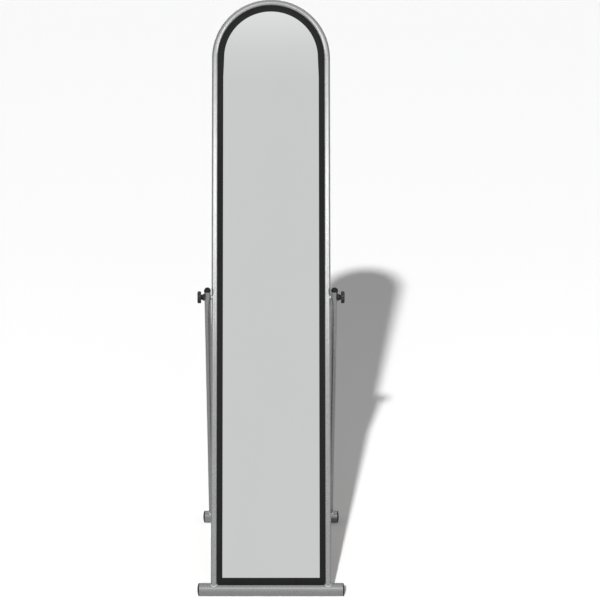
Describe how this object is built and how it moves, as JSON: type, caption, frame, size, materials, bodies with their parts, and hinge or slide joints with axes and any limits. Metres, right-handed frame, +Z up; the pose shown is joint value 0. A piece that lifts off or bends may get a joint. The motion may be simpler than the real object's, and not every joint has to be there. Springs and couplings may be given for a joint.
{
  "type": "floor mirror",
  "caption": "Arch-topped full-length floor mirror in a round tube frame, propped by a folding rear stand that clamps at its sides with knobs.",
  "frame": {"origin": "middle of the footprint's bounding box, on the floor", "axes": "+Z up, the mirror faces -Y, +X to the viewer's right"},
  "size_m": [0.368, 0.5777, 1.3899],
  "materials": {
    "silver_paint": "glossy silver-grey metallic paint",
    "bare_steel": "zinc-plated steel",
    "black_plastic": "satin black moulded plastic",
    "black_trim": "satin black soft PVC profile",
    "mirror": "polished silvered glass",
    "hardboard": "brown hardboard",
    "foam_tape": "white double-sided foam tape"
  },
  "bodies": {
    "mirror_frame": {"frame_tube": "silver_paint", "front_bar": "silver_paint", "front_cap_left": "black_plastic", "front_cap_right": "black_plastic", "front_welds": "silver_paint", "pivot_boss_left": "bare_steel", "pivot_boss_right": "bare_steel", "mirror_glass": "mirror", "bonding_tape": "foam_tape", "backing_board": "hardboard", "trim_upper": "black_trim", "trim_lower": "black_trim", "panel_lugs": "silver_paint", "panel_screws": "bare_steel"},
    "rear_stand": {"arm_left": "silver_paint", "arm_right": "silver_paint", "rear_bar": "silver_paint", "rear_cap_left": "black_plastic", "rear_cap_right": "black_plastic", "rear_welds": "silver_paint", "ball_cap_left": "black_plastic", "ball_cap_right": "black_plastic"},
    "left_washer": {"washer_left": "black_plastic"},
    "left_knob": {"knob_left": "black_plastic", "stud_left": "bare_steel"},
    "right_washer": {"washer_right": "black_plastic"},
    "right_knob": {"knob_right": "black_plastic", "stud_right": "bare_steel"}
  },
  "joints": [
    {"name": "stand_tilt", "type": "hinge", "parent": "mirror_frame", "child": "rear_stand", "pos_m": [0, -0.00295, 0.68998], "axis": [1, 0, 0], "range_deg": [-34, 20]},
    {"name": "left_washer_out", "type": "slide", "parent": "mirror_frame", "child": "left_washer", "axis": [-1, 0, 0], "range_m": [0, 0.003]},
    {"name": "left_knob_turn", "type": "hinge", "parent": "left_washer", "child": "left_knob", "pos_m": [-0.1795, -0.00295, 0.68998], "axis": [-1, 0, 0], "range_deg": [0, 1080]},
    {"name": "right_washer_out", "type": "slide", "parent": "mirror_frame", "child": "right_washer", "axis": [1, 0, 0], "range_m": [0, 0.003]},
    {"name": "right_knob_turn", "type": "hinge", "parent": "right_washer", "child": "right_knob", "pos_m": [0.1795, -0.00295, 0.68998], "axis": [1, 0, 0], "range_deg": [0, 1080]}
  ],
  "couplings": [
    {"joint": "left_knob_turn", "follows": "left_washer_out", "rad_per_m": 6283.2},
    {"joint": "right_knob_turn", "follows": "right_washer_out", "rad_per_m": 6283.2}
  ]
}
